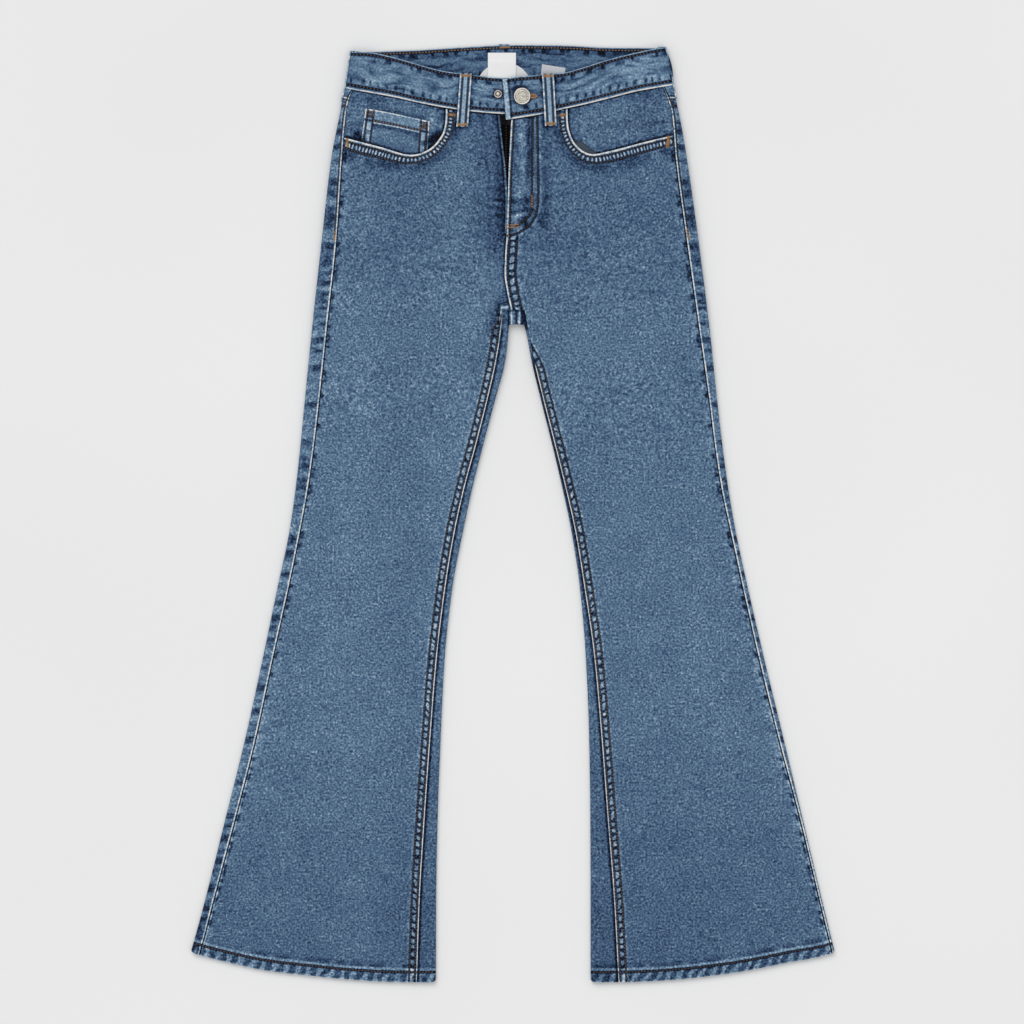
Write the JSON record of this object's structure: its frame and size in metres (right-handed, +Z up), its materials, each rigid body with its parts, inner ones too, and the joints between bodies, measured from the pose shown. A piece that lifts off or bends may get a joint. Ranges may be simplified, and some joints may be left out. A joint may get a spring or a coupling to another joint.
{
  "type": "jeans",
  "caption": "Flared five-pocket denim jeans laid flat with the front up: lapped fly with a shank button, belt loops, a coin pocket and topstitched seams.",
  "frame": {"origin": "middle of the garment's outline, on the surface that it lies on", "axes": "+X towards the wearer's left, +Y towards the waist, +Z up from the surface through the front"},
  "size_m": [0.7201, 1.0506, 0.0151],
  "materials": {
    "denim": "washed mid-blue cotton twill, matt",
    "denim_inside": "pale inner face of the twill, matt",
    "lining": "dark slate plain weave, matt",
    "zip": "aged brass chain on dark tape",
    "metal": "satin nickel",
    "label": "white satin tape, left bare"
  },
  "bodies": {
    "root": {"front_right": "denim", "front_left": "denim", "back_right": "denim", "back_left": "denim", "yoke_right": "denim", "yoke_left": "denim", "pocket_facing_right": "denim", "pocket_facing_left": "denim", "back_pocket_right": "denim", "back_pocket_left": "denim", "belt_loop_front_right": "denim", "belt_loop_front_left": "denim", "belt_loop_side_right": "denim", "belt_loop_side_left": "denim", "belt_loop_back": "denim", "coin_pocket": "denim", "waistband": "denim", "fly_shield": "denim_inside", "pocket_bag_right": "lining", "pocket_bag_left": "lining", "zip": "zip", "zip_slider": "zip", "button": "metal", "waist_tack": "metal", "label_name": "label", "label_care": "label", "label_side": "label"}
  },
  "joints": []
}
